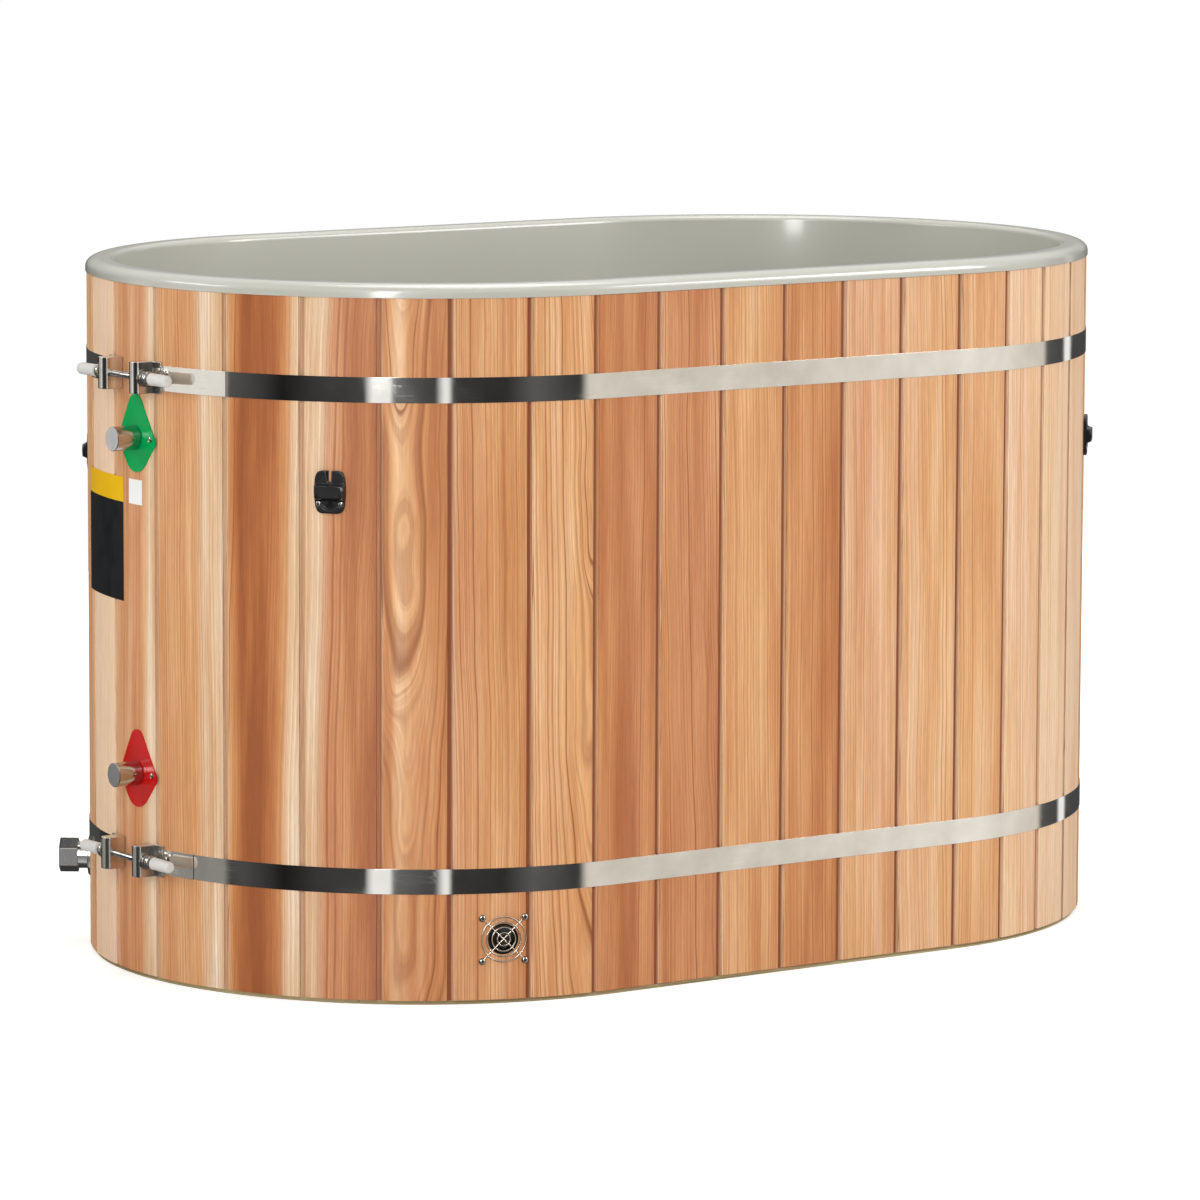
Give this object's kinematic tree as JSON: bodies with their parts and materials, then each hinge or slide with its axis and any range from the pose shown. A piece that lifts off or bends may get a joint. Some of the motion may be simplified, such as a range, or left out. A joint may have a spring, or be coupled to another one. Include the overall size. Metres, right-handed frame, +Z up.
{
  "type": "cold plunge tub",
  "caption": "Oval one-person cold plunge tub: moulded liner with a rolled rim in a wall of upright cedar boards, held by steel bands with screw clamps.",
  "frame": {"origin": "centre of the tub's footprint, on the floor", "axes": "+X along the tub to the right as seen from the long side in view, -Y that long side, +Z up; the water ports are at the -X end"},
  "size_m": [1.3305, 0.8, 0.826],
  "materials": {
    "cedar": "clear-oiled softwood boards, satin",
    "plywood": "sealed plywood, matte",
    "foam": "rigid insulation foam",
    "gelcoat": "warm grey moulded gelcoat, satin gloss",
    "band_steel": "rolled stainless strip with fine scratches",
    "polished_steel": "polished stainless",
    "white_plastic": "soft white plastic",
    "fastener_steel": "bright stainless fasteners",
    "turned_steel": "turned stainless",
    "green_enamel": "green gloss enamel on sheet",
    "red_enamel": "red gloss enamel on sheet",
    "rubber": "black sealing rubber",
    "black_plastic": "black nylon with a slight sheen",
    "wire_steel": "bright plated wire",
    "label_black": "plain film, satin",
    "label_white": "white film, satin"
  },
  "bodies": {
    "tub": {"plinth_strips": "plywood", "base_runners": "plywood", "base_panel": "plywood", "floor_foam": "foam", "low_hoop": "plywood", "mid_hoop": "plywood", "top_hoop": "plywood", "lower_wall_foam": "foam", "upper_wall_foam": "foam", "liner": "gelcoat", "rim_core": "plywood", "left_front_boards": "cedar", "front_boards": "cedar", "right_front_boards": "cedar", "right_back_boards": "cedar", "back_boards": "cedar", "left_back_boards": "cedar", "upper_band": "band_steel", "lower_band": "band_steel", "upper_front_lug": "polished_steel", "upper_back_lug": "polished_steel", "lower_front_lug": "polished_steel", "lower_back_lug": "polished_steel", "upper_rod": "polished_steel", "lower_rod": "polished_steel", "rod_end_caps": "white_plastic", "inlet_pipe": "turned_steel", "outlet_pipe": "turned_steel", "drain_pipe": "turned_steel", "port_gaskets": "rubber", "port_locknuts": "fastener_steel", "inlet_plate": "green_enamel", "outlet_plate": "red_enamel", "plate_screws": "fastener_steel", "drain_flange": "turned_steel", "drain_screen": "turned_steel", "front_left_latch": "black_plastic", "front_right_latch": "black_plastic", "back_left_latch": "black_plastic", "back_right_latch": "black_plastic", "latch_screws": "fastener_steel", "vent_sleeve": "black_plastic", "vent_guard": "wire_steel", "vent_screws": "fastener_steel", "black_label": "label_black", "white_label": "label_white"},
    "inlet_seal": {"inlet_seal": "rubber"},
    "inlet_cap": {"inlet_cap": "turned_steel"},
    "outlet_seal": {"outlet_seal": "rubber"},
    "outlet_cap": {"outlet_cap": "turned_steel"},
    "drain_seal": {"drain_seal": "rubber"},
    "drain_cap": {"drain_cap": "turned_steel"},
    "upper_front_washer": {"upper_front_washer": "fastener_steel"},
    "upper_front_nut": {"upper_front_nut": "fastener_steel"},
    "upper_back_washer": {"upper_back_washer": "fastener_steel"},
    "upper_back_nut": {"upper_back_nut": "fastener_steel"},
    "lower_front_washer": {"lower_front_washer": "fastener_steel"},
    "lower_front_nut": {"lower_front_nut": "fastener_steel"},
    "lower_back_washer": {"lower_back_washer": "fastener_steel"},
    "lower_back_nut": {"lower_back_nut": "fastener_steel"}
  },
  "joints": [
    {"name": "inlet_seal_travel", "type": "slide", "parent": "tub", "child": "inlet_seal", "axis": [-1, 0, 0], "range_m": [0, 0.0127]},
    {"name": "inlet_cap_turn", "type": "hinge", "parent": "inlet_seal", "child": "inlet_cap", "pos_m": [-0.668, 0, 0.633], "axis": [-1, 0, 0], "range_deg": [0, 2520]},
    {"name": "outlet_seal_travel", "type": "slide", "parent": "tub", "child": "outlet_seal", "axis": [-1, 0, 0], "range_m": [0, 0.0127]},
    {"name": "outlet_cap_turn", "type": "hinge", "parent": "outlet_seal", "child": "outlet_cap", "pos_m": [-0.668, 0, 0.241], "axis": [-1, 0, 0], "range_deg": [0, 2520]},
    {"name": "drain_seal_travel", "type": "slide", "parent": "tub", "child": "drain_seal", "axis": [-0.7986, 0.6018, 0], "range_m": [0, 0.01154]},
    {"name": "drain_cap_turn", "type": "hinge", "parent": "drain_seal", "child": "drain_cap", "pos_m": [-0.58772, 0.25487, 0.102], "axis": [-0.7986, 0.6018, 0], "range_deg": [0, 1800]},
    {"name": "upper_front_washer_travel", "type": "slide", "parent": "tub", "child": "upper_front_washer", "axis": [0, -1, 0], "range_m": [0, 0.0025]},
    {"name": "upper_front_nut_turn", "type": "hinge", "parent": "upper_front_washer", "child": "upper_front_nut", "pos_m": [-0.661, -0.0445, 0.706], "axis": [0, -1, 0], "range_deg": [0, 720]},
    {"name": "upper_back_washer_travel", "type": "slide", "parent": "tub", "child": "upper_back_washer", "axis": [0, 1, 0], "range_m": [0, 0.0025]},
    {"name": "upper_back_nut_turn", "type": "hinge", "parent": "upper_back_washer", "child": "upper_back_nut", "pos_m": [-0.661, 0.0545, 0.706], "axis": [0, 1, 0], "range_deg": [0, 720]},
    {"name": "lower_front_washer_travel", "type": "slide", "parent": "tub", "child": "lower_front_washer", "axis": [0, -1, 0], "range_m": [0, 0.0025]},
    {"name": "lower_front_nut_turn", "type": "hinge", "parent": "lower_front_washer", "child": "lower_front_nut", "pos_m": [-0.661, -0.0445, 0.143], "axis": [0, -1, 0], "range_deg": [0, 720]},
    {"name": "lower_back_washer_travel", "type": "slide", "parent": "tub", "child": "lower_back_washer", "axis": [0, 1, 0], "range_m": [0, 0.0025]},
    {"name": "lower_back_nut_turn", "type": "hinge", "parent": "lower_back_washer", "child": "lower_back_nut", "pos_m": [-0.661, 0.0545, 0.143], "axis": [0, 1, 0], "range_deg": [0, 720]}
  ],
  "couplings": [
    {"joint": "inlet_seal_travel", "follows": "inlet_cap_turn", "m_per_rad": 0.00028871},
    {"joint": "outlet_seal_travel", "follows": "outlet_cap_turn", "m_per_rad": 0.00028871},
    {"joint": "drain_seal_travel", "follows": "drain_cap_turn", "m_per_rad": 0.00036749},
    {"joint": "upper_front_nut_turn", "follows": "upper_front_washer_travel", "rad_per_m": 5026.5},
    {"joint": "upper_back_nut_turn", "follows": "upper_back_washer_travel", "rad_per_m": 5026.5},
    {"joint": "lower_front_nut_turn", "follows": "lower_front_washer_travel", "rad_per_m": 5026.5},
    {"joint": "lower_back_nut_turn", "follows": "lower_back_washer_travel", "rad_per_m": 5026.5}
  ]
}
